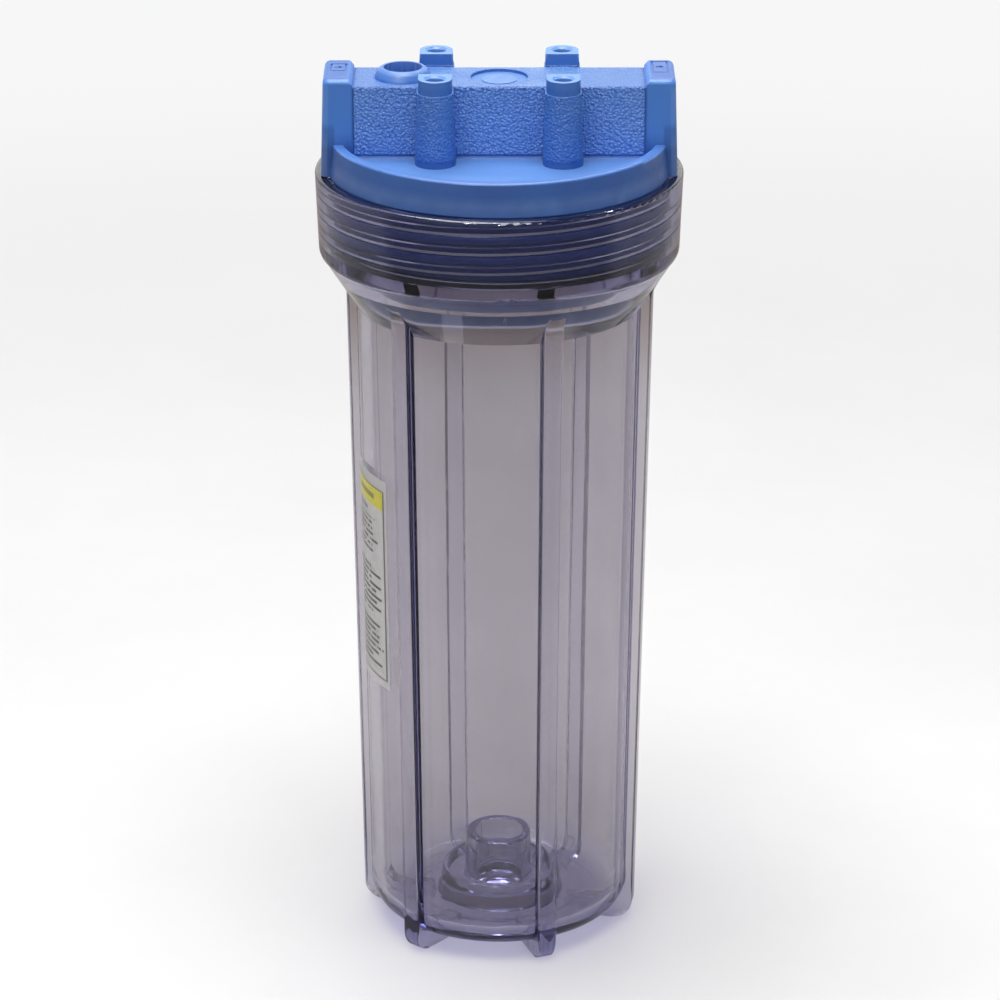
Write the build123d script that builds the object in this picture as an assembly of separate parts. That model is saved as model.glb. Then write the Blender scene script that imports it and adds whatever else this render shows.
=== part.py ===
from build123d import *
import os

# Clear cartridge filter housing: a cap with its inlet and outlet, and a clear sump that
# screws up into it. Millimetres. Origin at the centre of the plane the sump's feet stand
# on, +Z up, front at -Y. Inlet at -X, outlet at +X.
# In names, R is a radius from the part's own axis, Z a height, W a width.

# ---- sump: the clear bowl, outside ----
RIM_R, RIM_Z, RIM_ROUND = 58.5, 261.2, 1.1
BAND_R, BAND_Z = 57.6, 236.3  # lower edge of the smooth outside band
SHOULDER_MID = (57.3, 234.8)  # (r, z) on the rounded shoulder
CONE_R, CONE_Z = 56.3, 233.5  # top of the cone, below the shoulder
NECK_R, NECK_Z = 45.9, 217.2  # the cone runs into the straight wall here
WALL_R_LOW, WALL_Z_LOW = 43.0, 13.5  # bottom of the straight wall
HEEL_ROUND = 9.0  # between the wall and the underside
FLOOR_UNDER_Z = 4.5
BASE_R = 34.0  # flat part of the underside

# ---- sump: inside ----
BORE_R_TOP, BORE_Z_TOP = 42.0, 229.9  # cartridge chamber, where the neck's cone ends
BORE_R_LOW, BORE_Z_LOW = 39.0, 14.2  # just above the floor's corner
FLOOR_Z, FLOOR_CORNER = 9.0, 5.2
POST_R, POST_BORE_R, POST_Z = 11.1, 8.05, 29.5  # centring post for the cartridge
SEAT_R, SEAT_Z = 18.3, 17.2  # ring the cartridge stands on
SEAT_FLOOR_Z = 14.0  # floor between the ring and the post
DOME_R, DOME_H = 5.4, 4.2  # dome in the bottom of the post's bore
DOME_SPHERE_R = (DOME_R**2 + DOME_H**2) / (2 * DOME_H)
LAND_R, LAND_Z = 48.2, 239.9  # top of the inside cone that takes the cap's lower skirt
LEDGE_Z = 240.5  # ledge under the thread, with the seal groove in it
GROOVE_R_IN, GROOVE_R_OUT, GROOVE_Z = 50.2, 53.4, 238.3
THREAD_BORE_R, THREAD_LEAD = 54.6, 0.9  # root of the thread, and chamfer at its mouth

# ---- ribs and feet ----
RIB_COUNT = 6
RIB_ANGLE = 20.3  # first rib, from the front towards +X
RIB_W, RIB_EDGE_ROUND = 6.5, 0.7
RIB_R_LOW, RIB_R_TOP, RIB_Z_TOP = 45.9, 49.6, 222.5
RIB_TIP = (RIB_R_TOP + 3.6, RIB_Z_TOP + 6.5)
FOOT_CORNER = 7.0  # rounding at the outside of each foot
FOOT_INNER_R = 22.0
FOOT_W, FOOT_TAPER_Z = 4.6, 9.0  # width at the ground; the sides lean in below the height

# ---- right-hand screw thread between cap and sump ----
PITCH = 6.35
THREAD_BASE_W, THREAD_CREST_W = 3.5, 1.5
THREAD_SINK = 0.35  # depth of each ridge's base inside its wall
SUMP_CREST_R, SUMP_TURNS = 52.6, 2.53
CAP_CORE_R, CAP_CREST_R, CAP_TURNS = 52.2, 54.2, 2.05
# Middle of each ridge where it starts, and its angle from +X; half a pitch apart.
SUMP_THREAD_Z, SUMP_THREAD_ANGLE = 242.4, 148.1
CAP_THREAD_Z, CAP_THREAD_ANGLE = 242.9, -3.3

# ---- sump O-ring, just clear of the groove's floor ----
SEAL_D, SEAL_R = 2.62, 51.8
SEAL_Z = GROOVE_Z + SEAL_D / 2 + 0.02

# ---- cap: turned body ----
FLANGE_Z = RIM_Z + 0.3  # underside of the flange, just clear of the rim
FLANGE_R_LOW, FLANGE_R_TOP = 54.7, 53.7
LIP_IN_R, LIP_Z, LIP_ROUND = 50.2, 272.0, 0.9  # raised lip round the dish
DISH_Z = 267.4  # flat floor of the dish in the cap's top
SKIRT_Z = 241.0  # face that presses on the O-ring
PILOT_R, PILOT_Z = 47.7, LAND_Z  # lower skirt, tapered to sit in the sump's inside cone
PILOT_END_R, PILOT_END_Z = 42.1, 230.9
PILOT_BORE_R, PILOT_BORE_Z = 39.9, 236.5
HOLLOW_R, HOLLOW_Z_LOW, HOLLOW_CORNER = 44.6, 243.5, 3.0
CEIL_Z = 264.6  # inside face of the cap over the cartridge
EDGE_R, EDGE_Z = 18.2, 263.6  # sealing edge on the cartridge's top gasket

# ---- cap: manifold block along X, and port blocks at its ends ----
BLOCK_X, BLOCK_Y = 46.0, 11.6  # half length and half width
BLOCK_ROOT_Z, BLOCK_Z = 266.0, 290.8
END_X_TOP, END_X_LOW, END_Y, END_Z = 55.2, 56.2, 12.0, 293.2
END_ROOT_X = 51.0  # inner side of the port blocks where they overhang the flange

# ---- cap: four bracket bosses, with a wider step below the top of each ----
BOSS_X, BOSS_Y, BOSS_Z, BOSS_ROOT_Z = 20.0, 17.1, 294.9, 267.0
BOSS_R_TOP, BOSS_R_LOW = 5.25, 6.1
STEP_R_TOP, STEP_R_LOW, STEP_Z = BOSS_R_TOP + 0.42, BOSS_R_LOW + 0.35, 290.5
BOSS_HOLE_R, BOSS_HOLE_DEPTH = 2.9, 16.0
BOSS_SINK_R, BOSS_SINK_DEPTH = 3.5, 0.7

# ---- cap: blind collar on the inlet side, and round recess in the middle ----
COLLAR_X, COLLAR_R_LOW, COLLAR_R_TOP, COLLAR_Z = -30.3, 8.9, 8.0, 294.0
COLLAR_HOLE_R, COLLAR_FLOOR_Z = 6.1, 286.4
DISC_R, DISC_DEPTH = 9.0, 0.9
DISC_PAD_R, DISC_PAD_H = 5.7, 0.2  # low pad left in the recess

# ---- cap: ports and passages ----
PORT_R, PORT_Z = 7.34, 277.0  # tapping size of a 3/8 inch pipe thread
PORT_DEPTH, PORT_CUT_LENGTH = 13.6, 16.0  # depth from END_X_LOW; the cut runs past it
PORT_LEAD_R, PORT_LEAD_DEPTH = 9.9, 1.2  # lead-in cone, as far outside the face as inside
PORT_PITCH, PORT_TURNS, PORT_THREAD_X = 1.411, 6.4, 45.2  # 18 threads to the inch
PORT_GROOVE, PORT_GROOVE_OVERLAP = 0.6, 0.15
PORT_GROOVE_W, PORT_GROOVE_ROOT_W = 0.84, 0.2
PASSAGE_R = 5.2
INLET_PASSAGE_X, INLET_PASSAGE_LENGTH = -46.0, 12.0
OUTLET_PASSAGE_LENGTH = 46.0
DROP_X, DROP_R, DROP_Z = -38.2, 4.6, 255.0  # upright hole down to the ring of raw water
SPIGOT_R, SPIGOT_TAPER = 12.0, 0.8  # outlet spigot, into the cartridge's core
SPIGOT_BORE_R, SPIGOT_Z = 7.6, 254.5

# ---- cap: flow marks on the port blocks ----
MARK_X, MARK_DEPTH, MARK_CUT_H = 50.6, 0.4, 2.0
FRAME_W, FRAME_LINE = 5.3, 0.7
MARKS = ((-1, 2.4, 8.4), (1, 2.9, 13.0))  # side in X, centre Y, frame length along Y

# ---- label on the sump's wall ----
LABEL_START, LABEL_END = -89.0, -53.5  # degrees from the front; negative is towards -X
LABEL_Z_LOW, LABEL_Z_TOP = 91.0, 164.0
LABEL_T, LABEL_GAP = 0.15, 0.02

UPWARD = (Align.CENTER, Align.CENTER, Align.MIN)  # a primitive standing on its origin


def outline(*points):
    return make_face(Polyline(*points, close=True))


def turned(profile):
    """A solid of revolution about Z from an (r, z) outline."""
    return revolve(Plane.XZ * profile, Axis.Z, 360)


def rod(radius, length):
    return Cylinder(radius, length, align=UPWARD)


def cone(low_r, top_r, height):
    return Cone(low_r, top_r, height, align=UPWARD)


def helical_ridge(pitch, turns, base_r, crest_r, base_w, crest_w):
    """A trapezoid swept along a right-hand helix, its base at base_r."""
    path = Helix(pitch, pitch * turns, base_r)
    plane = Plane(origin=path @ 0, x_dir=(1, 0, 0), z_dir=path % 0)
    depth = crest_r - base_r
    section = outline(
        (0, -base_w / 2), (depth, -crest_w / 2), (depth, crest_w / 2), (0, base_w / 2)
    )
    return sweep(plane * section, path=path, is_frenet=True)


def screw_ridge(base_r, crest_r, turns, start_z, start_angle):
    ridge = helical_ridge(PITCH, turns, base_r, crest_r, THREAD_BASE_W, THREAD_CREST_W)
    return Rot(0, 0, start_angle) * Pos(0, 0, start_z) * ridge


# ================= sump =================
def sump_profile():
    with BuildSketch() as half:
        with BuildLine():
            underside = Line((0, FLOOR_UNDER_Z), (BASE_R, FLOOR_UNDER_Z))
            heel = RadiusArc(underside @ 1, (WALL_R_LOW, WALL_Z_LOW), -HEEL_ROUND)
            wall = Line(heel @ 1, (NECK_R, NECK_Z))
            neck = Line(wall @ 1, (CONE_R, CONE_Z))
            shoulder = ThreePointArc(neck @ 1, SHOULDER_MID, (BAND_R, BAND_Z))
            band = Line(shoulder @ 1, (RIM_R, RIM_Z - RIM_ROUND))
            rim = RadiusArc(band @ 1, (RIM_R - RIM_ROUND, RIM_Z), -RIM_ROUND)
            # thread bore, ledge with its groove, inside cone and chamber
            inside = Polyline(
                rim @ 1,
                (THREAD_BORE_R + THREAD_LEAD, RIM_Z), (THREAD_BORE_R, RIM_Z - THREAD_LEAD),
                (THREAD_BORE_R, LEDGE_Z), (GROOVE_R_OUT, LEDGE_Z),
                (GROOVE_R_OUT, GROOVE_Z), (GROOVE_R_IN, GROOVE_Z),
                (GROOVE_R_IN, LEDGE_Z), (LAND_R, LEDGE_Z), (LAND_R, LAND_Z),
                (BORE_R_TOP, BORE_Z_TOP), (BORE_R_LOW, BORE_Z_LOW),
            )
            corner = RadiusArc(
                inside @ 1, (BORE_R_LOW - FLOOR_CORNER, FLOOR_Z), FLOOR_CORNER + 0.1
            )
            floor = Line(corner @ 1, (SEAT_R + 3.1, FLOOR_Z))
            seat_foot = ThreePointArc(
                floor @ 1, (SEAT_R + 2.04, FLOOR_Z + 0.44), (SEAT_R + 1.6, FLOOR_Z + 1.5)
            )
            seat = Polyline(
                seat_foot @ 1,
                (SEAT_R + 0.8, SEAT_Z - 0.4), (SEAT_R + 0.4, SEAT_Z),
                (SEAT_R - 0.5, SEAT_Z), (SEAT_R - 0.8, SEAT_Z - 0.3),
                (SEAT_R - 1.4, SEAT_FLOOR_Z), (POST_R + 1.15, SEAT_FLOOR_Z),
            )
            post_foot = ThreePointArc(
                seat @ 1,
                (POST_R + 0.58, SEAT_FLOOR_Z + 0.23), (POST_R + 0.35, SEAT_FLOOR_Z + 0.8),
            )
            post = Polyline(
                post_foot @ 1,
                (POST_R, POST_Z - 0.8), (POST_R - 0.24, POST_Z - 0.24),
                (POST_R - 0.8, POST_Z), (POST_BORE_R + 0.5, POST_Z),
                (POST_BORE_R + 0.12, POST_Z - 0.15), (POST_BORE_R, POST_Z - 0.5),
                (POST_BORE_R - 0.2, FLOOR_Z + 0.8), (POST_BORE_R - 1.0, FLOOR_Z),
                (DOME_R, FLOOR_Z),
            )
            dome = RadiusArc(post @ 1, (0, FLOOR_Z + DOME_H), -DOME_SPHERE_R)
            Line(dome @ 1, (0, FLOOR_UNDER_Z))
        make_face()
    return half.sketch


def make_rib():
    """A fin along +X, its foot below the floor with a rounded outside corner."""
    half_w, foot_half_w = RIB_W / 2, FOOT_W / 2
    outer_edge = FilletPolyline(
        (FOOT_INNER_R, 0), (RIB_R_LOW - 0.3, 0), (RIB_R_TOP, RIB_Z_TOP), RIB_TIP,
        radius=FOOT_CORNER,
    )
    # inside the sump's wall and floor, so that the fin joins them
    inner_edge = Polyline(
        RIB_TIP, (RIB_R_TOP - 2.6, RIB_Z_TOP + 4.2), (NECK_R - 1.6, NECK_Z - 1.0),
        (WALL_R_LOW - 1.5, WALL_Z_LOW + 2.0), (BASE_R - 1.0, FLOOR_UNDER_Z + 2.0),
        (FOOT_INNER_R + 1.2, FLOOR_UNDER_Z + 1.2), (FOOT_INNER_R, 0),
    )
    fin = make_face([*outer_edge.edges(), *inner_edge.edges()])
    blade = extrude(Plane.XZ * fin, half_w, both=True)

    def is_outer_corner(edge):
        middle = edge.center()
        long_edge = edge.length > 150 and middle.X > (RIB_R_LOW + RIB_R_TOP) / 2 - 0.6
        at_foot = middle.X > 40.5 and middle.Z < 10
        at_top = middle.X > RIB_R_TOP and middle.Z < RIB_Z_TOP + 2.5
        return abs(abs(middle.Y) - half_w) < 0.01 and (long_edge or at_foot or at_top)

    blade = fillet([e for e in blade.edges() if is_outer_corner(e)], RIB_EDGE_ROUND)
    # full width above the foot, leaning in towards the ground
    width = outline(
        (-foot_half_w, -0.01), (foot_half_w, -0.01), (half_w, FOOT_TAPER_Z),
        (half_w, 240), (-half_w, 240), (-half_w, FOOT_TAPER_Z),
    )
    return blade & extrude(Plane.YZ * width, 80)


def make_sump():
    sump = turned(sump_profile())
    rib = make_rib()
    for i in range(RIB_COUNT):
        sump = sump + Rot(0, 0, -90 + RIB_ANGLE + 360 / RIB_COUNT * i) * rib
    return sump + screw_ridge(
        THREAD_BORE_R + THREAD_SINK, SUMP_CREST_R, SUMP_TURNS, SUMP_THREAD_Z, SUMP_THREAD_ANGLE
    )


# ================= cap =================
def cap_profile():
    with BuildSketch() as half:
        with BuildLine():
            ceiling = Polyline(
                (0, CEIL_Z), (EDGE_R - 1.2, CEIL_Z), (EDGE_R - 0.3, EDGE_Z),
                (EDGE_R + 0.3, EDGE_Z), (EDGE_R + 1.2, CEIL_Z),
                (HOLLOW_R - HOLLOW_CORNER, CEIL_Z),
            )
            corner = RadiusArc(
                ceiling @ 1, (HOLLOW_R, CEIL_Z - HOLLOW_CORNER), HOLLOW_CORNER + 0.1
            )
            # down the hollow, round the pilot and skirt, and up the flange
            skirt = Polyline(
                corner @ 1,
                (HOLLOW_R, HOLLOW_Z_LOW), (PILOT_BORE_R + 0.4, PILOT_BORE_Z),
                (PILOT_BORE_R, PILOT_END_Z + 0.6), (PILOT_BORE_R + 0.6, PILOT_END_Z),
                (PILOT_END_R - 0.6, PILOT_END_Z), (PILOT_END_R, PILOT_END_Z + 0.5),
                (PILOT_R, PILOT_Z), (PILOT_R, SKIRT_Z), (CAP_CORE_R, SKIRT_Z),
                (CAP_CORE_R, FLANGE_Z), (FLANGE_R_LOW, FLANGE_Z),
                (FLANGE_R_TOP, LIP_Z - LIP_ROUND),
            )
            lip_round = RadiusArc(skirt @ 1, (FLANGE_R_TOP - LIP_ROUND, LIP_Z), -LIP_ROUND)
            lip = Line(lip_round @ 1, (LIP_IN_R + 0.7, LIP_Z))
            lip_inner = ThreePointArc(
                lip @ 1, (LIP_IN_R + 0.2, LIP_Z - 0.2), (LIP_IN_R, LIP_Z - 0.7)
            )
            dish_wall = Line(lip_inner @ 1, (LIP_IN_R - 0.6, DISH_Z + 2.4))
            dish_corner = ThreePointArc(
                dish_wall @ 1, (LIP_IN_R - 1.3, DISH_Z + 0.7), (LIP_IN_R - 3.0, DISH_Z)
            )
            dish = Line(dish_corner @ 1, (0, DISH_Z))
            Line(dish @ 1, (0, CEIL_Z))
        make_face()
    return half.sketch


def make_block():
    block = Pos(0, 0, (BLOCK_Z + BLOCK_ROOT_Z) / 2) * Box(
        2 * BLOCK_X + 2, 2 * BLOCK_Y, BLOCK_Z - BLOCK_ROOT_Z
    )
    top = [e for e in block.edges()
           if abs(e.center().Z - BLOCK_Z) < 0.01 and abs(e.center().X) < 1]
    return fillet(top, 1.0)


def block_foot(side):
    """A small fillet of plastic along the foot of the block, on one side in Y."""
    section = outline(
        (side * (BLOCK_Y - 0.5), DISH_Z - 0.5), (side * (BLOCK_Y + 0.75), DISH_Z - 0.5),
        (side * (BLOCK_Y + 0.75), DISH_Z), (side * (BLOCK_Y + 0.22), DISH_Z + 0.22),
        (side * BLOCK_Y, DISH_Z + 0.75), (side * (BLOCK_Y - 0.5), DISH_Z + 0.75),
    )
    return extrude(Plane.YZ * section, BLOCK_X, both=True)


def make_port_block():
    """The port block at +X."""
    side = outline(
        (BLOCK_X, BLOCK_ROOT_Z), (BLOCK_X, END_Z - 2.0), (BLOCK_X + 1.5, END_Z),
        (END_X_TOP, END_Z), (END_X_LOW, FLANGE_Z), (END_ROOT_X, FLANGE_Z),
        (END_ROOT_X, BLOCK_ROOT_Z),
    )
    end = extrude(Plane.XZ * side, END_Y, both=True)
    upright = [e for e in end.edges() if abs(abs(e.center().Y) - END_Y) < 0.01
               and e.length > 20 and e.center().X > BLOCK_X + 6]
    end = fillet(upright, 2.0)
    top = [e for e in end.edges()
           if abs(e.center().Z - END_Z) < 0.01 and e.center().X > BLOCK_X + 1.6]
    return fillet(top, 1.7)


def boss_plan(radius):
    """Half round outwards, with straight sides back into the block."""
    back = BOSS_Y - (BLOCK_Y - 1.0)
    with BuildSketch() as plan:
        with BuildLine():
            left = Line((-radius, -back), (-radius, 0))
            nose = ThreePointArc(left @ 1, (0, radius), (radius, 0))
            right = Line(nose @ 1, (radius, -back))
            Line(right @ 1, (-radius, -back))
        make_face()
    return plan.sketch


def boss_column(low_r, top_r, top_z):
    return loft([
        Pos(BOSS_X, BOSS_Y, BOSS_ROOT_Z) * boss_plan(low_r),
        Pos(BOSS_X, BOSS_Y, top_z) * boss_plan(top_r),
    ])


def four_ways(shape):
    """The shape and its mirror images in X and Y."""
    copies = []
    for half in (shape, mirror(shape, Plane.YZ)):
        copies += [half, mirror(half, Plane.XZ)]
    return copies


def make_collar():
    return Pos(COLLAR_X, 0, 0) * turned(outline(
        (0, BLOCK_Z - 1), (COLLAR_R_LOW + 0.2, BLOCK_Z - 1), (COLLAR_R_LOW, BLOCK_Z + 0.2),
        (COLLAR_R_TOP + 0.3, BLOCK_Z + 1.7), (COLLAR_R_TOP, COLLAR_Z - 0.9),
        (COLLAR_R_TOP - 0.4, COLLAR_Z - 0.45), (COLLAR_R_TOP - 1.1, COLLAR_Z), (0, COLLAR_Z),
    ))


def top_cuts():
    """Holes in the bosses and the collar, and the round recess."""
    cuts = []
    for x in (BOSS_X, -BOSS_X):
        for y in (BOSS_Y, -BOSS_Y):
            hole = rod(BOSS_HOLE_R, BOSS_HOLE_DEPTH + 1)
            sink = cone(BOSS_HOLE_R, BOSS_SINK_R, BOSS_SINK_DEPTH)
            cuts.append(Pos(x, y, BOSS_Z - BOSS_HOLE_DEPTH) * hole)
            cuts.append(Pos(x, y, BOSS_Z - BOSS_SINK_DEPTH) * sink)
    cuts.append(Pos(COLLAR_X, 0, COLLAR_FLOOR_Z) * rod(COLLAR_HOLE_R, 20))
    recess = rod(DISC_R, 5) - rod(DISC_PAD_R, DISC_PAD_H)
    cuts.append(Pos(0, 0, BLOCK_Z - DISC_DEPTH) * recess)
    return cuts


def water_cuts():
    """Ports, then the passages to the ring of raw water and to the cartridge's core."""
    cuts = []
    face_slope = (END_X_LOW - END_X_TOP) / (END_Z - FLANGE_Z)
    face_x = END_X_LOW - face_slope * (PORT_Z - FLANGE_Z)
    for side in (-1, 1):
        outwards = Rot(0, side * 90, 0)
        bore = outwards * rod(PORT_R, PORT_CUT_LENGTH)
        lead = outwards * cone(PORT_R, PORT_LEAD_R, 2 * PORT_LEAD_DEPTH)
        cuts.append(Pos(side * (END_X_LOW - PORT_DEPTH), 0, PORT_Z) * bore)
        cuts.append(Pos(side * (face_x - PORT_LEAD_DEPTH), 0, PORT_Z) * lead)
    along_x = Rot(0, 90, 0)
    inlet = along_x * rod(PASSAGE_R, INLET_PASSAGE_LENGTH)
    cuts.append(Pos(INLET_PASSAGE_X, 0, PORT_Z) * inlet)
    cuts.append(Pos(DROP_X, 0, DROP_Z) * rod(DROP_R, PORT_Z - DROP_Z))
    cuts.append(Pos(0, 0, PORT_Z) * (along_x * rod(PASSAGE_R, OUTLET_PASSAGE_LENGTH)))
    cuts.append(Pos(0, 0, SPIGOT_Z - 1) * rod(SPIGOT_BORE_R, PORT_Z - SPIGOT_Z + 1))
    return cuts


def mark_cuts():
    """A recessed frame and arrow on each port block; both arrows point to +X."""
    cuts = []
    floor_z = END_Z - MARK_DEPTH
    for side, y, length in MARKS:
        x = side * MARK_X
        frame = Box(FRAME_W, length, MARK_CUT_H, align=UPWARD) - Box(
            FRAME_W - 2 * FRAME_LINE, length - 2 * FRAME_LINE, MARK_CUT_H, align=UPWARD
        )
        arrow = outline(
            (x - 1.3, y - 0.5), (x, y - 0.5), (x, y - 1.6), (x + 1.4, y),
            (x, y + 1.6), (x, y + 0.5), (x - 1.3, y + 0.5),
        )
        cuts += [Pos(x, y, floor_z) * frame, Pos(0, 0, floor_z) * extrude(arrow, MARK_CUT_H)]
    return cuts


def make_cap():
    cap = turned(cap_profile())
    cap = cap + screw_ridge(
        CAP_CORE_R - THREAD_SINK, CAP_CREST_R, CAP_TURNS, CAP_THREAD_Z, CAP_THREAD_ANGLE
    )
    cap = cap + make_block()
    for side in (1, -1):
        cap = cap + block_foot(side)
    end = make_port_block()
    cap = cap + mirror(end, Plane.YZ)
    cap = cap + end

    # above the block only the part of a boss outside its face stands up
    boss = boss_column(BOSS_R_LOW, BOSS_R_TOP, BOSS_Z)
    boss = boss - Pos(BOSS_X, BLOCK_Y - 5.0, BLOCK_Z + 5.0) * Box(20, 10, 10)
    step = boss_column(STEP_R_LOW, STEP_R_TOP, STEP_Z)
    for column in four_ways(boss) + four_ways(step):
        cap = cap + column

    cap = cap + make_collar()
    spigot = cone(SPIGOT_R - SPIGOT_TAPER, SPIGOT_R, CEIL_Z - SPIGOT_Z + 1.0)
    cap = cap + Pos(0, 0, SPIGOT_Z) * spigot
    for cut in top_cuts() + water_cuts() + mark_cuts():
        cap = cap - cut

    port_groove = helical_ridge(
        PORT_PITCH, PORT_TURNS, PORT_R - PORT_GROOVE_OVERLAP, PORT_R + PORT_GROOVE,
        PORT_GROOVE_W, PORT_GROOVE_ROOT_W,
    )
    for side in (-1, 1):
        groove = Rot(0, side * 90, 0) * port_groove
        cap = cap - Pos(side * PORT_THREAD_X, 0, PORT_Z) * groove
    return cap


# ================= O-ring and label =================
def make_seal():
    return Pos(0, 0, SEAL_Z) * Torus(SEAL_R, SEAL_D / 2)


def make_label():
    wall_slope = (NECK_R - WALL_R_LOW) / (NECK_Z - WALL_Z_LOW)
    low_r, top_r = (
        WALL_R_LOW + wall_slope * (z - WALL_Z_LOW) + LABEL_GAP
        for z in (LABEL_Z_LOW, LABEL_Z_TOP)
    )
    strip = outline(
        (low_r, LABEL_Z_LOW), (top_r, LABEL_Z_TOP),
        (top_r + LABEL_T, LABEL_Z_TOP), (low_r + LABEL_T, LABEL_Z_LOW),
    )
    band = revolve(Plane.XZ * strip, Axis.Z, LABEL_END - LABEL_START)
    return Rot(0, 0, -90 + LABEL_START) * band


parts = {
    "cap": make_cap(),
    "sump": make_sump(),
    "sump_o_ring": make_seal(),
    "label": make_label(),
}
os.makedirs("parts", exist_ok=True)
for name, shape in parts.items():
    solids = shape.solids()
    body = solids[0] if len(solids) == 1 else shape
    export_step(body, "parts/" + name + ".step")
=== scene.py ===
import math
import bpy
import numpy as np
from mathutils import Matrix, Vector


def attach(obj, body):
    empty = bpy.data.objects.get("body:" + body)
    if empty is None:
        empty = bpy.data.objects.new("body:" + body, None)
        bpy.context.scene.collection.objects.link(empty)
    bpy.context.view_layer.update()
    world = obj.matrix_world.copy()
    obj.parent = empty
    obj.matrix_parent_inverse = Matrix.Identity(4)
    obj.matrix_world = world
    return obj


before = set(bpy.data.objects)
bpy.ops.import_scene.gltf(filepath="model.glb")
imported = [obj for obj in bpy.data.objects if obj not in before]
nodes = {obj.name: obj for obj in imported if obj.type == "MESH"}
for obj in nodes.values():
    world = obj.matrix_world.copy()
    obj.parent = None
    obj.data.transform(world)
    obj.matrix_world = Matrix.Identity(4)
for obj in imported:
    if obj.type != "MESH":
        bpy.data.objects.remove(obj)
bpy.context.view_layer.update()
scene = bpy.context.scene
MM = 0.001


# ------------------------------------------------------------ node helpers
class Graph:
    """Small helper to write shader graphs in few lines."""

    def __init__(self, name):
        self.mat = bpy.data.materials.new(name)
        self.mat.use_nodes = True
        self.t = self.mat.node_tree
        self.t.nodes.clear()
        self.out = self.t.nodes.new("ShaderNodeOutputMaterial")

    def n(self, kind, **props):
        node = self.t.nodes.new("ShaderNode" + kind)
        for k, v in props.items():
            setattr(node, k, v)
        return node

    def link(self, a, b):
        self.t.links.new(a, b)

    def put(self, node, socket, value):
        s = node.inputs[socket]
        if isinstance(value, bpy.types.NodeSocket):
            self.link(value, s)
        else:
            s.default_value = value
        return node

    def coord(self):
        return self.n("TexCoord").outputs["Object"]

    def scaled(self, vec, s):
        m = self.n("VectorMath", operation="MULTIPLY")
        self.put(m, 0, vec)
        m.inputs[1].default_value = s if hasattr(s, "__len__") else (s, s, s)
        return m.outputs[0]

    def noise(self, vec, scale, detail=3.0, rough=0.5, distortion=0.0):
        x = self.n("TexNoise")
        self.put(x, "Vector", vec)
        x.inputs["Scale"].default_value = scale
        x.inputs["Detail"].default_value = detail
        x.inputs["Roughness"].default_value = rough
        x.inputs["Distortion"].default_value = distortion
        return x.outputs["Fac"]

    def voronoi(self, vec, scale, feature="F1", rand=1.0, out="Distance"):
        x = self.n("TexVoronoi", feature=feature)
        self.put(x, "Vector", vec)
        x.inputs["Scale"].default_value = scale
        x.inputs["Randomness"].default_value = rand
        return x.outputs[out]

    def math(self, op, a, b=0.0, c=None, clamp=False):
        x = self.n("Math", operation=op, use_clamp=clamp)
        self.put(x, 0, a)
        self.put(x, 1, b)
        if c is not None:
            self.put(x, 2, c)
        return x.outputs[0]

    def ramp(self, fac, stops, interp="LINEAR"):
        x = self.n("ValToRGB")
        x.color_ramp.interpolation = interp
        e = x.color_ramp.elements
        while len(e) > 1:
            e.remove(e[-1])
        e[0].position, e[0].color = stops[0][0], stops[0][1]
        for p, c in stops[1:]:
            k = e.new(p)
            k.color = c
        self.put(x, "Fac", fac)
        return x.outputs["Color"]

    def mix(self, fac, a, b, blend="MIX"):
        x = self.n("Mix", data_type="RGBA", blend_type=blend)
        self.put(x, 0, fac)
        self.put(x, 6, a)
        self.put(x, 7, b)
        return x.outputs[2]

    def maprange(self, v, a, b, c=0.0, d=1.0, smooth=False):
        x = self.n("MapRange", interpolation_type="SMOOTHSTEP" if smooth else "LINEAR")
        self.put(x, "Value", v)
        for k, val in (("From Min", a), ("From Max", b), ("To Min", c), ("To Max", d)):
            x.inputs[k].default_value = val
        return x.outputs["Result"]

    def bump(self, height, strength, distance, normal=None):
        x = self.n("Bump")
        x.inputs["Strength"].default_value = strength
        x.inputs["Distance"].default_value = distance
        self.put(x, "Height", height)
        if normal is not None:
            self.link(normal, x.inputs["Normal"])
        return x.outputs["Normal"]

    def xyz(self, vec):
        s = self.n("SeparateXYZ")
        self.put(s, 0, vec)
        return s.outputs[0], s.outputs[1], s.outputs[2]

    def principled(self, **kw):
        p = self.n("BsdfPrincipled")
        for k, v in kw.items():
            self.put(p, k.replace("_", " "), v)
        return p


def rgb(r, g, b):
    """sRGB 0-255 to linear."""
    def f(c):
        c /= 255.0
        return c / 12.92 if c <= 0.04045 else ((c + 0.055) / 1.055) ** 2.4
    return (f(r), f(g), f(b), 1.0)


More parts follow.
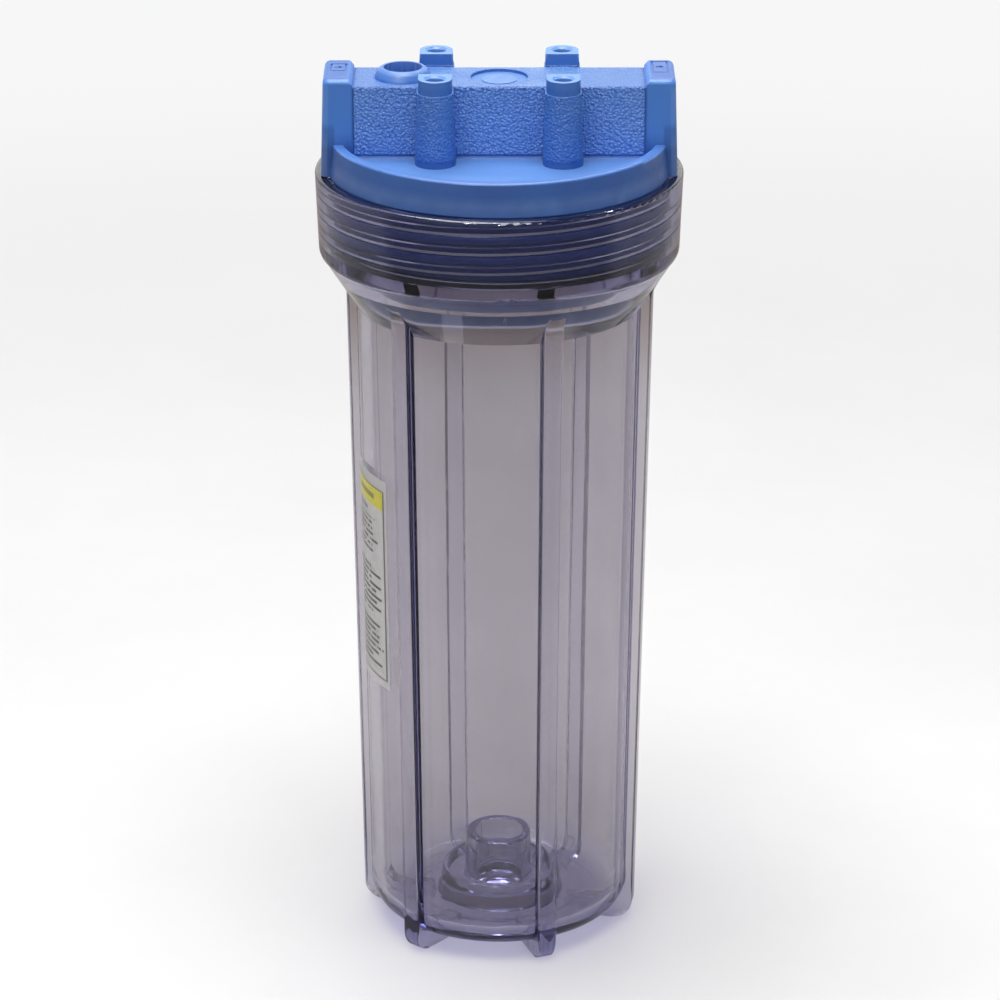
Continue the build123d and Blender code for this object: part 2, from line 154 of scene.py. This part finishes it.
# ------------------------------------------------------------ materials
def cap_material():
    g = Graph("cap_plastic")
    co = g.coord()
    x, y, z = g.xyz(co)
    ax, ay = g.math("ABSOLUTE", x), g.math("ABSOLUTE", y)
    # pebbled grain only on the manifold block: its long sides and its top, up to the port blocks
    in_x = g.maprange(ax, 0.0458, 0.0453)
    in_y = g.maprange(ay, 0.01185, 0.01170)
    in_z = g.maprange(z, 0.2682, 0.2690)
    block = g.math("MULTIPLY", g.math("MULTIPLY", in_x, in_y), in_z)
    # keep the collar, the round recess and the screw bosses smooth
    cx = g.math("ADD", x, 0.0303)
    r_col = g.math("SQRT", g.math("ADD", g.math("MULTIPLY", cx, cx), g.math("MULTIPLY", y, y)))
    on_collar = g.maprange(r_col, 0.0095, 0.0090)
    r_mid = g.math("SQRT", g.math("ADD", g.math("MULTIPLY", x, x), g.math("MULTIPLY", y, y)))
    in_disc = g.maprange(r_mid, 0.0094, 0.0090)
    on_top = g.maprange(z, 0.2890, 0.2896)
    above = g.maprange(z, 0.2911, 0.2913)
    smooth_bits = g.math("MAXIMUM", g.math("MULTIPLY", on_collar, on_top), g.math("MULTIPLY", in_disc, on_top))
    smooth_bits = g.math("MAXIMUM", smooth_bits, above)
    pebble_mask = g.math("MULTIPLY", block, g.math("SUBTRACT", 1.0, smooth_bits, clamp=True))
    # the boss bodies carry it too, up to the step under their smooth tops
    bx = g.math("SUBTRACT", ax, 0.0200)
    by = g.math("SUBTRACT", ay, 0.0171)
    r_boss = g.math("SQRT", g.math("ADD", g.math("MULTIPLY", bx, bx), g.math("MULTIPLY", by, by)))
    near_boss = g.math("MULTIPLY", g.maprange(r_boss, 0.00735, 0.0072), g.maprange(r_boss, 0.0045, 0.0049))
    boss_body = g.math("MULTIPLY", near_boss, g.math("MULTIPLY", g.maprange(z, 0.2688, 0.2700), g.maprange(z, 0.29045, 0.29025)))
    pebble_mask = g.math("MAXIMUM", pebble_mask, g.math("MULTIPLY", boss_body, 0.8))
    on_block = g.math("MULTIPLY", block, g.math("SUBTRACT", 1.0, boss_body, clamp=True))
    lit_side_mask = g.math("MULTIPLY", g.math("MAXIMUM", on_block, g.math("MULTIPLY", boss_body, 0.22)), g.maprange(z, 0.2902, 0.2896))
    # leather-like pebbles, a little under a millimetre across
    warp = g.n("VectorMath", operation="MULTIPLY_ADD")
    nz = g.n("TexNoise")
    g.put(nz, "Vector", co)
    nz.inputs["Scale"].default_value = 520.0
    g.link(nz.outputs["Color"], warp.inputs[0])
    warp.inputs[1].default_value = (0.0004, 0.0004, 0.0004)
    g.link(co, warp.inputs[2])
    cells = g.n("TexVoronoi", feature="SMOOTH_F1")
    g.put(cells, "Vector", warp.outputs[0])
    cells.inputs["Scale"].default_value = 1180.0
    cells.inputs["Smoothness"].default_value = 0.25
    peb = g.math("SUBTRACT", 1.0, cells.outputs["Distance"], clamp=True)
    peb2 = g.noise(co, 1900.0, 2.0, 0.6)
    pebble = g.math("ADD", g.math("MULTIPLY", peb, 1.0), g.math("MULTIPLY", peb2, 0.35))
    fine = g.noise(co, 2600.0, 3.0, 0.6)
    broad = g.noise(co, 38.0, 4.0, 0.55)
    base = g.ramp(broad, [(0.30, rgb(50, 100, 176)), (0.52, rgb(57, 108, 184)), (0.72, rgb(66, 117, 192))])
    speck = g.noise(co, 900.0, 2.0, 0.7)
    base = g.mix(g.math("MULTIPLY", g.maprange(speck, 0.60, 0.78), 0.16), base, rgb(112, 152, 216))
    # convex edges are painted paler, less so round the bosses: a painted highlight
    geo = g.n("NewGeometry")
    edge = g.maprange(geo.outputs["Pointiness"], 0.505, 0.56)
    boss_zone = g.math("MULTIPLY", g.maprange(r_boss, 0.0075, 0.0072), g.maprange(z, 0.2680, 0.2690))
    edge_highlight_mix = g.math("MULTIPLY", edge, g.math("SUBTRACT", 0.40, g.math("MULTIPLY", boss_zone, 0.34)))
    base = g.mix(edge_highlight_mix, base, rgb(158, 192, 238))
    # hollow creases are painted darker: painted shade
    crease_shade = g.maprange(geo.outputs["Pointiness"], 0.49, 0.44)
    base = g.mix(g.math("MULTIPLY", crease_shade, 0.35), base, rgb(30, 62, 128))
    # the block's long sides, and the boss bodies a little, are painted paler: painted light from the top light that
    # the grain catches
    base = g.mix(g.math("MULTIPLY", lit_side_mask, 0.85), base, g.ramp(broad, [(0.30, rgb(98, 148, 222)), (0.72, rgb(112, 160, 232))]))
    # the grain's valleys carry painted shade and its tops a painted highlight; the tops are also left a little
    # smoother
    valley_shade = g.math("MULTIPLY", pebble_mask, g.maprange(pebble, 0.80, 0.45))
    base = g.mix(g.math("MULTIPLY", valley_shade, 0.45), base, rgb(48, 96, 180))
    peak = g.math("MULTIPLY", pebble_mask, g.maprange(pebble, 0.90, 1.10))
    base = g.mix(g.math("MULTIPLY", peak, 0.40), base, rgb(150, 188, 244))
    # the flange's side, just above the rim, is painted darker in uneven patches: painted shade
    r_all = g.math("SQRT", g.math("ADD", g.math("MULTIPLY", x, x), g.math("MULTIPLY", y, y)))
    flange_low_shade = g.math("MULTIPLY", g.maprange(z, 0.2722, 0.2705), g.maprange(r_all, 0.0528, 0.0534))
    base = g.mix(g.math("MULTIPLY", flange_low_shade, g.maprange(g.noise(co, 120.0, 4.0, 0.6), 0.2, 0.8, 0.15, 0.35)), base, rgb(22, 52, 110))
    # the port blocks take up light from the floor and the dish in front of them
    ends = g.math("MULTIPLY", g.maprange(ax, 0.0458, 0.0466), g.maprange(z, 0.2700, 0.2760))
    base = g.mix(g.math("MULTIPLY", ends, 0.75), base, rgb(74, 134, 214))
    # light soaks through the plastic round the mouths of the screw holes
    mouth = g.math("MULTIPLY", g.maprange(r_boss, 0.00350, 0.00335), g.maprange(z, 0.2905, 0.2930))
    base = g.mix(g.math("MULTIPLY", mouth, 0.8), base, rgb(116, 160, 224))
    # upper faces carry painted light: low down and on the boss tops they are painted paler, on the high block top a
    # greyer blue
    nrm0 = g.n("NewGeometry").outputs["Normal"]
    _, _, up = g.xyz(nrm0)
    upper = g.maprange(up, 0.6, 0.95)
    high = g.maprange(z, 0.2800, 0.2850)
    painted_top_tone = g.mix(g.math("MULTIPLY", high, boss_zone), g.mix(high, rgb(92, 132, 186), rgb(70, 108, 160)), rgb(92, 138, 204))
    base = g.mix(g.math("MULTIPLY", upper, 0.60), base, painted_top_tone)
    # the port block tops are painted a darker blue: painted shade
    end_top_shade = g.math("MULTIPLY", g.math("MULTIPLY", upper, high), g.maprange(ax, 0.0440, 0.0466))
    base = g.mix(g.math("MULTIPLY", end_top_shade, 0.85), base, rgb(36, 82, 150))
    # the collar's top is painted a darker blue: painted shade
    collar_top_shade = g.math("MULTIPLY", g.math("MULTIPLY", upper, on_collar), g.maprange(z, 0.2900, 0.2905))
    base = g.mix(g.math("MULTIPLY", collar_top_shade, 0.50), base, rgb(44, 88, 162))
    # the flange's side faces are painted a darker blue: painted shade
    flange_side_shade = g.math("MULTIPLY", g.math("MULTIPLY", g.maprange(r_all, 0.0528, 0.0534), g.maprange(z, 0.2790, 0.2770)), g.maprange(up, 0.6, 0.3))
    base = g.mix(g.math("MULTIPLY", flange_side_shade, 0.42), base, rgb(34, 72, 142))
    # the lip's top is painted a darker blue: painted shade
    lip_top_shade = g.math("MULTIPLY", g.math("MULTIPLY", upper, g.maprange(r_all, 0.0500, 0.0508)), g.maprange(z, 0.2800, 0.2780))
    base = g.mix(g.math("MULTIPLY", lip_top_shade, 0.55), base, rgb(46, 88, 158))
    # sparse handling scuffs, scattered over the whole cap
    scuff = g.math("MULTIPLY", g.maprange(g.noise(g.scaled(co, (1.0, 3.2, 1.0)), 300.0, 3.0, 0.7), 0.66, 0.72),
                   g.maprange(g.noise(co, 22.0, 2.0, 0.5), 0.52, 0.62))
    base = g.mix(g.math("MULTIPLY", scuff, 0.20), base, rgb(150, 182, 230))
    rough = g.maprange(g.noise(co, 160.0, 3.0, 0.6), 0.2, 0.8, 0.40, 0.54)
    rough = g.math("SUBTRACT", rough, g.math("MULTIPLY", edge, 0.10))
    rough = g.math("SUBTRACT", rough, g.math("MULTIPLY", peak, 0.10))
    nrm = g.bump(fine, 0.10, 0.0001)
    hb = g.math("MULTIPLY", pebble, pebble_mask)
    nrm = g.bump(hb, 0.9, 0.00045, nrm)
    p = g.principled(Base_Color=base, Roughness=rough, IOR=1.46)
    g.link(nrm, p.inputs["Normal"])
    g.link(p.outputs[0], g.out.inputs["Surface"])
    return g.mat


def clear_material():
    g = Graph("clear_plastic")
    co = g.coord()
    broad = g.noise(co, 26.0, 3.0, 0.5)
    tint = g.ramp(broad, [(0.35, (0.77, 0.757, 0.775, 1)), (0.65, (0.81, 0.797, 0.815, 1))])
    # the threaded neck is tinted deeper and bluer than the walls: painted shade over the thread band
    _, _, zt = g.xyz(co)
    tint = g.mix(g.maprange(zt, 0.2375, 0.2405), tint, g.mix(g.maprange(zt, 0.2440, 0.2475), (0.38, 0.41, 0.56, 1), (0.49, 0.51, 0.69, 1)))
    # the floor, the cartridge ring and the post are tinted deeper too, where the plastic doubles up: painted shade
    # over the bottom
    tint = g.mix(g.maprange(zt, 0.0165, 0.0125), tint, (0.75, 0.75, 0.85, 1))
    # round the post and the base the edges seen at a glance are tinted dark: painted shade standing for the dark
    # outlines of thick clear plastic
    lw = g.n("LayerWeight")
    lw.inputs["Blend"].default_value = 0.5
    glance_shade = g.math("MULTIPLY", g.maprange(lw.outputs["Facing"], 0.62, 0.93), g.maprange(zt, 0.060, 0.040))
    tint = g.mix(g.math("MULTIPLY", glance_shade, 0.95), tint, (0.28, 0.26, 0.46, 1))
    # slight moulding waviness and a few fine handling scratches
    stretch = g.scaled(co, (1.0, 1.0, 0.16))
    wave = g.noise(stretch, 55.0, 2.0, 0.4)
    scr = g.noise(g.scaled(co, (1.0, 1.0, 0.04)), 1900.0, 1.0, 0.4)
    scratch = g.maprange(scr, 0.70, 0.76)
    nrm = g.bump(wave, 0.25, 0.0003)
    nrm = g.bump(scratch, 0.06, 0.00003, nrm)
    # flow rings round the gate in the moulded floor
    cxf, cyf, _ = g.xyz(co)
    rf = g.math("SQRT", g.math("ADD", g.math("MULTIPLY", cxf, cxf), g.math("MULTIPLY", cyf, cyf)))
    swirl = g.n("CombineXYZ")
    g.put(swirl, "X", g.math("MULTIPLY", rf, 260.0))
    g.put(swirl, "Y", g.math("MULTIPLY", g.math("ARCTAN2", cyf, cxf), 0.9))
    rings = g.math("MULTIPLY", g.noise(swirl.outputs[0], 1.0, 3.0, 0.6), g.math("MULTIPLY", g.maprange(zt, 0.0215, 0.0165), g.math("MULTIPLY", g.maprange(rf, 0.0470, 0.0430), g.maprange(rf, 0.0235, 0.0265))))
    nrm = g.bump(rings, 0.45, 0.0007, nrm)
    rough = g.math("ADD", g.maprange(g.noise(co, 210.0, 4.0, 0.6), 0.35, 0.8, 0.012, 0.05), g.math("MULTIPLY", scratch, 0.05))
    p = g.principled(Base_Color=tint, Roughness=rough, IOR=1.57)
    p.inputs["Transmission Weight"].default_value = 1.0
    g.link(nrm, p.inputs["Normal"])
    # light reaches things behind the wall with a soft tinted shadow
    lp = g.n("LightPath")
    tr = g.n("BsdfTransparent")
    # the bowl hardly dims the light that falls through it, the thick threaded neck dims it a good deal
    _, _, z = g.xyz(co)
    neck = g.maprange(z, 0.222, 0.236)
    g.link(g.mix(neck, (0.945, 0.94, 0.95, 1), (0.50, 0.52, 0.62, 1)), tr.inputs["Color"])
    mix = g.n("MixShader")
    g.link(g.math("MAXIMUM", lp.outputs["Is Shadow Ray"], lp.outputs["Is Diffuse Ray"]), mix.inputs[0])
    g.link(p.outputs[0], mix.inputs[1])
    g.link(tr.outputs[0], mix.inputs[2])
    g.link(mix.outputs[0], g.out.inputs["Surface"])
    va = g.n("VolumeAbsorption")
    va.inputs["Color"].default_value = (0.20, 0.19, 0.62, 1)
    va.inputs["Density"].default_value = 30.0
    g.link(va.outputs[0], g.out.inputs["Volume"])
    return g.mat


def rubber_material():
    g = Graph("seal_rubber")
    co = g.coord()
    dust = g.noise(co, 380.0, 4.0, 0.6)
    base = g.ramp(dust, [(0.3, rgb(5, 5, 7)), (0.7, rgb(15, 14, 17))])
    # a lubricated ring: greasy sheen in patches and a fine surface grain
    grease = g.maprange(g.noise(co, 90.0, 3.0, 0.6), 0.45, 0.6)
    rough = g.math("SUBTRACT", g.maprange(g.noise(co, 700.0, 3.0, 0.6), 0.2, 0.8, 0.34, 0.56), g.math("MULTIPLY", grease, 0.14))
    nrm = g.bump(g.noise(co, 1600.0, 3.0, 0.6), 0.25, 0.00008)
    p = g.principled(Base_Color=base, Roughness=rough)
    g.link(nrm, p.inputs["Normal"])
    g.link(p.outputs[0], g.out.inputs["Surface"])
    return g.mat


def label_material():
    """Clear film printed with a yellow bar over plain grey blocks; no lettering."""
    g = Graph("label_film")
    co = g.coord()
    x, y, z = g.xyz(co)
    # u runs across the film from its left edge, 0..1; v up it, 0..1
    ang = g.math("ARCTAN2", x, g.math("MULTIPLY", y, -1.0))
    u = g.maprange(ang, math.radians(-89.0), math.radians(-53.5))
    v = g.maprange(z, 0.0910, 0.1615)

    def band(t, lo, hi, soft=0.004):
        return g.math("MULTIPLY", g.maprange(t, lo - soft, lo + soft), g.maprange(t, hi + soft, hi - soft))

    def over(col, mask, c):
        return g.mix(mask, col, c)

    grain = g.noise(co, 1400.0, 3.0, 0.6)
    film = g.ramp(g.noise(co, 240.0, 3.0, 0.5), [(0.3, rgb(236, 240, 238)), (0.7, rgb(246, 249, 247))])
    col = film
    inside = g.math("MULTIPLY", band(u, 0.03, 0.955, 0.006), band(v, 0.035, 0.985, 0.003))
    frame_line = g.math("SUBTRACT", inside, g.math("MULTIPLY", band(u, 0.055, 0.925, 0.006), band(v, 0.043, 0.978, 0.003)), clamp=True)
    # plain rows of grey, broken into uneven lengths and set in three groups, standing for printed matter
    count = 36.0
    row = g.math("FRACT", g.math("MULTIPLY", v, count))
    rows = g.math("MULTIPLY", g.maprange(row, 0.26, 0.34), g.maprange(row, 0.80, 0.72))
    lengths = g.n("TexWhiteNoise", noise_dimensions="1D")
    g.put(lengths, "W", g.math("FLOOR", g.math("MULTIPLY", v, count)))
    end = g.math("ADD", 0.58, g.math("MULTIPLY", lengths.outputs["Value"], 0.32))
    short = g.math("LESS_THAN", u, end)
    groups = g.math("MAXIMUM", g.math("MAXIMUM", band(v, 0.075, 0.30, 0.002), band(v, 0.345, 0.59, 0.002)), band(v, 0.635, 0.82, 0.002))
    text_rows = g.math("MULTIPLY", g.math("MULTIPLY", rows, short), g.math("MULTIPLY", band(u, 0.13, 0.90), groups))
    along = g.n("CombineXYZ")
    g.put(along, "X", g.math("MULTIPLY", u, 11.0))
    g.put(along, "Y", g.math("MULTIPLY", g.math("FLOOR", g.math("MULTIPLY", v, count)), 7.3))
    gaps = g.math("GREATER_THAN", g.noise(along.outputs[0], 1.0, 1.0, 0.5), 0.40)
    text_rows = g.math("MULTIPLY", text_rows, gaps)
    col = over(col, g.math("MULTIPLY", text_rows, 0.92), rgb(30, 28, 34))
    block_a = g.math("MULTIPLY", band(u, 0.13, 0.52), band(v, 0.845, 0.862, 0.002))
    col = over(col, g.math("MULTIPLY", block_a, 0.85), rgb(52, 50, 56))
    bar = g.math("MULTIPLY", band(u, 0.055, 0.925), band(v, 0.885, 0.978, 0.003))
    yel = g.ramp(g.noise(co, 500.0, 3.0, 0.6), [(0.3, rgb(216, 210, 60)), (0.7, rgb(232, 225, 78))])
    col = over(col, bar, yel)
    # one plain dark stripe inside the bar
    stripe = g.math("MULTIPLY", band(u, 0.20, 0.72), band(v, 0.920, 0.945, 0.003))
    col = over(col, g.math("MULTIPLY", stripe, 0.65), rgb(64, 60, 36))
    col = over(col, g.math("MULTIPLY", frame_line, 0.90), rgb(48, 46, 54))
    # rubbed edges
    rub = g.math("SUBTRACT", 1.0, g.math("MULTIPLY", band(u, 0.02, 0.98, 0.015), band(v, 0.01, 0.99, 0.006)), clamp=True)
    col = over(col, g.math("MULTIPLY", rub, 0.5), rgb(226, 225, 228))
    col = g.mix(g.maprange(grain, 0.55, 0.75, 0.0, 0.10), col, rgb(150, 148, 152))
    rough = g.maprange(g.noise(co, 420.0, 3.0, 0.6), 0.2, 0.8, 0.26, 0.44)
    p = g.principled(Base_Color=col, Roughness=rough)
    g.link(g.bump(g.noise(co, 120.0, 3.0, 0.5), 0.15, 0.0003), p.inputs["Normal"])
    tr = g.n("BsdfTransparent")
    tr.inputs["Color"].default_value = (0.95, 0.945, 0.95, 1)
    printed = g.math("MAXIMUM", g.math("MAXIMUM", text_rows, bar), g.math("MAXIMUM", block_a, frame_line))
    opac = g.math("ADD", 0.52, g.math("MULTIPLY", printed, 0.44), clamp=True)
    mix = g.n("MixShader")
    g.link(opac, mix.inputs[0])
    g.link(tr.outputs[0], mix.inputs[1])
    g.link(p.outputs[0], mix.inputs[2])
    g.link(mix.outputs[0], g.out.inputs["Surface"])
    return g.mat


MATS = {"cap": cap_material(), "sump": clear_material(), "sump_o_ring": rubber_material(), "label": label_material()}
for name, obj in nodes.items():
    obj.data.materials.clear()
    obj.data.materials.append(MATS[name])

# ------------------------------------------------------------ floor, light, camera
FLOOR_DIM = (0.420, 0.408, 0.392, 1)
FLOOR_TAN = (0.235, 0.195, 0.160, 1)
FLOOR_FRONT = (0.150, 0.140, 0.135, 1)
ROOM_HORIZON = (0.56, 0.545, 0.54, 1)


def floor_material():
    g = Graph("pale_floor")
    co = g.coord()
    x, y, z = g.xyz(co)
    lp = g.n("LightPath")
    seen = lp.outputs["Is Camera Ray"]
    col = g.ramp(g.noise(co, 6.0, 4.0, 0.6), [(0.3, (0.60, 0.60, 0.605, 1)), (0.7, (0.63, 0.63, 0.633, 1))])
    # what the object itself sees: a dimmer floor, tan further back and dark on the camera's side
    rr = g.math("SQRT", g.math("ADD", g.math("MULTIPLY", x, x), g.math("MULTIPLY", y, y)))
    behind = g.math("MULTIPLY", g.maprange(y, 0.48, 0.66, smooth=True), g.maprange(g.math("ABSOLUTE", x), 0.80, 0.45, smooth=True))
    dim = g.mix(behind, FLOOR_DIM, FLOOR_TAN)
    dim = g.mix(g.maprange(rr, 0.90, 1.15, smooth=True), dim, FLOOR_DIM)
    dim = g.mix(g.maprange(y, -0.12, -0.30, smooth=True), dim, FLOOR_FRONT)
    p = g.principled(Base_Color=g.mix(seen, dim, col), Roughness=g.maprange(g.noise(co, 40.0, 4.0, 0.6), 0.2, 0.8, 0.55, 0.75))
    g.link(g.bump(g.noise(co, 900.0, 4.0, 0.6), 0.05, 0.0002), p.inputs["Normal"])
    # far away it runs into the pale backdrop
    r = g.math("SQRT", g.math("ADD", g.math("MULTIPLY", x, x), g.math("MULTIPLY", y, y)))
    far = g.math("MULTIPLY", g.maprange(r, 0.30, 1.1, smooth=True), seen)
    em = g.n("Emission")
    em.inputs["Color"].default_value = (0.93, 0.93, 0.94, 1)
    mix = g.n("MixShader")
    g.link(far, mix.inputs[0])
    g.link(p.outputs[0], mix.inputs[1])
    g.link(em.outputs[0], mix.inputs[2])
    # and for the object it runs into the pale horizon
    em2 = g.n("Emission")
    em2.inputs["Color"].default_value = ROOM_HORIZON
    mix2 = g.n("MixShader")
    g.link(g.math("MULTIPLY", g.maprange(rr, 0.95, 1.35, smooth=True), g.math("SUBTRACT", 1.0, seen)), mix2.inputs[0])
    g.link(mix.outputs[0], mix2.inputs[1])
    g.link(em2.outputs[0], mix2.inputs[2])
    g.link(mix2.outputs[0], g.out.inputs["Surface"])
    return g.mat


def grid_plane(name, size, z):
    v = [(-size, -size, z), (size, -size, z), (size, size, z), (-size, size, z)]
    me = bpy.data.meshes.new(name)
    me.from_pydata(v, [], [(0, 1, 2, 3)])
    o = bpy.data.objects.new(name, me)
    scene.collection.objects.link(o)
    return o


floor = grid_plane("studio_floor", 4.0, 0.0)
floor.data.materials.append(floor_material())
# the housing stands on the floor in every pose, so the floor follows the part that goes down
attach(floor, "seal")

ROOM_LOW = (0.40, 0.36, 0.335, 1)
ROOM_HIGH = (0.285, 0.235, 0.19, 1)
ROOM_TOP = (0.13, 0.13, 0.16, 1)
world = bpy.data.worlds.new("studio")
scene.world = world
world.use_nodes = True
wt = world.node_tree
wt.nodes.clear()


def wnode(kind, **kw):
    n = wt.nodes.new("ShaderNode" + kind)
    for k, v in kw.items():
        setattr(n, k, v)
    return n


# the camera sees a plain pale backdrop; the object sees a dimmer, warm room with a bright ceiling
wout = wnode("OutputWorld")
bg = wnode("Background")
wt.links.new(bg.outputs[0], wout.inputs[0])
wl = wnode("LightPath")
wc = wnode("TexCoord")
wx = wnode("SeparateXYZ")
wt.links.new(wc.outputs["Generated"], wx.inputs[0])
wr = wnode("ValToRGB")
wt.links.new(wx.outputs[2], wr.inputs[0])
ELEV = [(0.13, ROOM_HORIZON), (0.27, ROOM_LOW), (0.50, ROOM_HIGH), (0.78, ROOM_TOP)]
we = wr.color_ramp.elements
we[0].position, we[0].color = ELEV[0]
we[1].position, we[1].color = ELEV[1]
for pos, colour in ELEV[2:]:
    we.new(pos).color = colour
wm = wnode("Mix", data_type="RGBA")
wt.links.new(wl.outputs["Is Camera Ray"], wm.inputs[0])
wt.links.new(wr.outputs["Color"], wm.inputs[6])
wm.inputs[7].default_value = (0.93, 0.93, 0.94, 1)
wt.links.new(wm.outputs[2], bg.inputs[0])
bg.inputs[1].default_value = 1.0


def area(name, loc, target, size, power, color=(1, 1, 1)):
    d = bpy.data.lights.new(name, "AREA")
    d.shape = "RECTANGLE"
    d.size, d.size_y = size
    d.energy = power
    d.color = color
    o = bpy.data.objects.new(name, d)
    o.location = loc
    o.rotation_euler = (Vector(target) - Vector(loc)).to_track_quat("-Z", "Y").to_euler()
    scene.collection.objects.link(o)
    return o


over = area("overhead_softbox", (-0.10, -0.05, 1.75), (0, 0, 0.1), (1.5, 1.1), 47.0)
area("key_softbox", (-0.9, -1.1, 1.25), (0, 0, 0.18), (0.5, 0.5), 2.2)
area("fill_softbox", (1.15, -0.7, 0.85), (0, 0, 0.15), (0.4, 0.7), 1.0)
area("small_flash", (0.10, -1.35, 0.95), (0, 0, 0.15), (0.05, 0.05), 0.9)
for tag, loc, size, power in (("sparkle_a", (-0.45, -1.15, 1.35), (0.25, 0.25), 18.0), ("sparkle_b", (0.12, -0.55, 1.60), (0.14, 0.14), 6.0),
                              ("sparkle_c", (0.40, 0.85, 1.30), (0.18, 0.18), 6.0), ("strip_back", (0.0, 1.30, 1.95), (1.6, 0.35), 10.0)):
    spark = area(tag, loc, (0, 0, 0.05), size, power)
    spark.visible_diffuse = False
    spark.visible_camera = False
glint = area("base_glint", (-0.12, 0.75, 1.25), (0, 0, 0.02), (0.20, 0.20), 16.0)
glint.visible_diffuse = False
glint.visible_glossy = False
glint.visible_camera = False
card = area("back_card", (0.0, 1.7, 0.95), (0, 0, 0.25), (2.4, 1.2), 9.0)
card.visible_transmission = False
card.visible_diffuse = False
card.visible_camera = False

cam = bpy.data.cameras.new("camera")
cam.sensor_width = 36.0
cam.lens = 4249.5 / 1000.0 * 36.0
cam.shift_x, cam.shift_y = 0.00077, -0.00682
cam.clip_start, cam.clip_end = 0.05, 50.0
cam_o = bpy.data.objects.new("camera", cam)
cam_o.location = (0.0, -1.29399, 0.65517)
cam_o.rotation_euler = (math.radians(90.0 - 21.3256), 0.0, 0.0)
scene.collection.objects.link(cam_o)
scene.camera = cam_o

scene.view_settings.view_transform = "Standard"
scene.view_settings.look = "None"
scene.view_settings.exposure = 0.0
scene.cycles.max_bounces = 24
scene.cycles.transmission_bounces = 24
scene.cycles.transparent_max_bounces = 24
scene.cycles.glossy_bounces = 8
scene.cycles.diffuse_bounces = 4
scene.cycles.caustics_reflective = False
scene.cycles.caustics_refractive = False
scene.cycles.sample_clamp_indirect = 4.0
